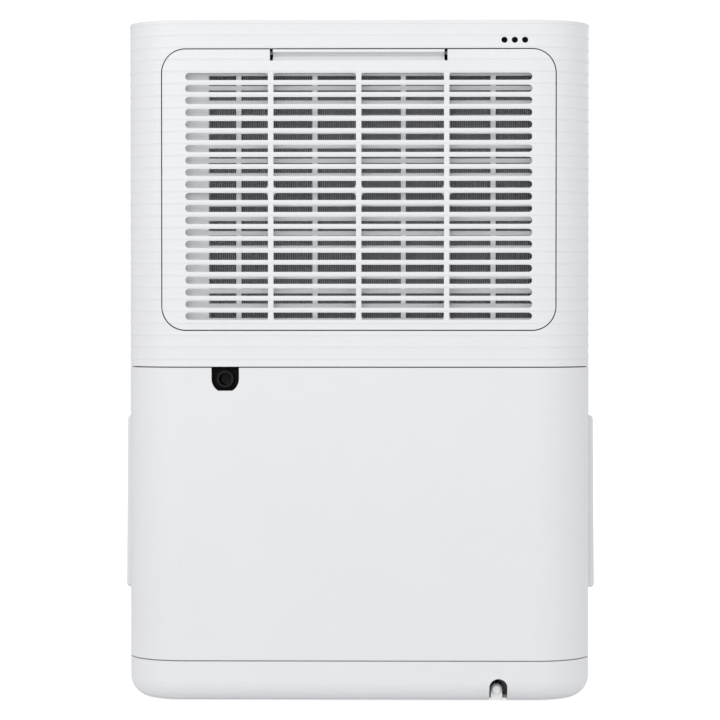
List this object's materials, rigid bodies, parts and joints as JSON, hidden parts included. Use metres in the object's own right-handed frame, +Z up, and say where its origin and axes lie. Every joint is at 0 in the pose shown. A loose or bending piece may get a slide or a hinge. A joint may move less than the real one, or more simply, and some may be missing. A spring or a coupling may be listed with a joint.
{
  "type": "dehumidifier",
  "caption": "Compact white compressor dehumidifier with a ribbed upper housing, rear inlet grille and filter, drain outlet and front water tank.",
  "frame": {"origin": "on the floor, under the middle of the object's box", "axes": "+Z up, front with the water tank faces -Y, rear with the inlet grille faces +Y, X side to side"},
  "size_m": [0.3572, 0.24, 0.5011],
  "materials": {
    "white_plastic": "fine satin texture",
    "control_white": "satin",
    "panel_gloss": "gloss",
    "display_dark": "dark gloss",
    "lamp_lens": "frosted",
    "rubber": "matte",
    "cord_grey": "soft",
    "filter_grey": "satin",
    "filter_net": "fine woven net",
    "fin_aluminium": "mill finish fins",
    "copper": "dull copper",
    "tray_plastic": "satin",
    "black_plastic": "satin",
    "fan_plastic": "satin",
    "steel": "bright",
    "zinc_steel": "zinc plated",
    "compressor_paint": "black enamel",
    "capacitor_shell": "satin",
    "board_green": "solder mask",
    "tank_clear": "translucent",
    "window_clear": "clear smoked",
    "float_plastic": "satin",
    "float_foam": "closed-cell foam, stiff",
    "magnet": "ferrite"
  },
  "bodies": {
    "housing": {"base_tray": "white_plastic", "rear_panel": "white_plastic", "rear_housing": "white_plastic", "front_housing": "white_plastic", "top_cover": "white_plastic", "control_panel": "panel_gloss", "display_window": "display_dark", "indicator_lamps": "lamp_lens", "rubber_feet": "rubber", "rubber_mounts": "rubber", "cord_gland": "cord_grey", "evaporator_fins": "fin_aluminium", "condenser_fins": "fin_aluminium", "coil_plates": "fin_aluminium", "evaporator_bends": "copper", "condenser_bends": "copper", "suction_pipe": "copper", "discharge_pipe": "copper", "filter_drier": "copper", "capillary_tube": "copper", "drip_tray": "tray_plastic", "bulkhead": "tray_plastic", "tank_deck": "tray_plastic", "fan_plate": "tray_plastic", "fan_scroll": "tray_plastic", "outlet_duct": "tray_plastic", "electronics_box": "tray_plastic", "box_cover": "tray_plastic", "drain_outlet": "black_plastic", "humidity_sensor": "black_plastic", "float_sensor": "black_plastic", "outlet_guard": "black_plastic", "panel_screws": "steel", "mount_bolts": "steel", "motor_bracket": "zinc_steel", "fan_motor": "zinc_steel", "compressor": "compressor_paint", "accumulator": "compressor_paint", "run_capacitor": "capacitor_shell", "control_board": "board_green", "power_board": "board_green"},
    "grille": {"inlet_grille": "white_plastic", "filter_frame": "filter_grey", "filter_mesh": "filter_net"},
    "fan": {"fan_wheel": "fan_plastic", "fan_shaft": "steel"},
    "tank": {"water_tank": "tank_clear", "tank_front": "white_plastic", "tank_window": "window_clear", "tank_lid": "tank_clear"},
    "float": {"float_lever": "float_plastic", "float_block": "float_foam", "float_magnet": "magnet"},
    "louver": {"outlet_louver": "white_plastic"},
    "power_key": {"power_button": "control_white"},
    "mode_key": {"mode_button": "control_white"},
    "down_key": {"down_button": "control_white"},
    "up_key": {"up_button": "control_white"},
    "timer_key": {"timer_button": "control_white"}
  },
  "joints": [
    {"name": "grille_tilt", "type": "hinge", "parent": "housing", "child": "grille", "pos_m": [0, 0.1085, 0.2895], "axis": [-1, 0, 0], "range_deg": [0, 28]},
    {"name": "fan_spin", "type": "hinge", "parent": "housing", "child": "fan", "pos_m": [-0.01, 0, 0.37], "axis": [0, 1, 0], "continuous": true},
    {"name": "tank_slide", "type": "slide", "parent": "housing", "child": "tank", "axis": [0, -1, 0], "range_m": [0, 0.2]},
    {"name": "float_swing", "type": "hinge", "parent": "tank", "child": "float", "pos_m": [-0.06, -0.016, 0.188], "axis": [-1, 0, 0], "range_deg": [0, 12]},
    {"name": "louver_tilt", "type": "hinge", "parent": "housing", "child": "louver", "pos_m": [0, 0.027, 0.499], "axis": [-1, 0, 0], "range_deg": [0, 75]},
    {"name": "power_press", "type": "slide", "parent": "housing", "child": "power_key", "axis": [0, 0, -1], "range_m": [0, 0.0008], "stiffness_N_per_m": 1500, "springref_m": -0.0003},
    {"name": "mode_press", "type": "slide", "parent": "housing", "child": "mode_key", "axis": [0, 0, -1], "range_m": [0, 0.0008], "stiffness_N_per_m": 1500, "springref_m": -0.0003},
    {"name": "down_press", "type": "slide", "parent": "housing", "child": "down_key", "axis": [0, 0, -1], "range_m": [0, 0.0008], "stiffness_N_per_m": 1500, "springref_m": -0.0003},
    {"name": "up_press", "type": "slide", "parent": "housing", "child": "up_key", "axis": [0, 0, -1], "range_m": [0, 0.0008], "stiffness_N_per_m": 1500, "springref_m": -0.0003},
    {"name": "timer_press", "type": "slide", "parent": "housing", "child": "timer_key", "axis": [0, 0, -1], "range_m": [0, 0.0008], "stiffness_N_per_m": 1500, "springref_m": -0.0003}
  ]
}
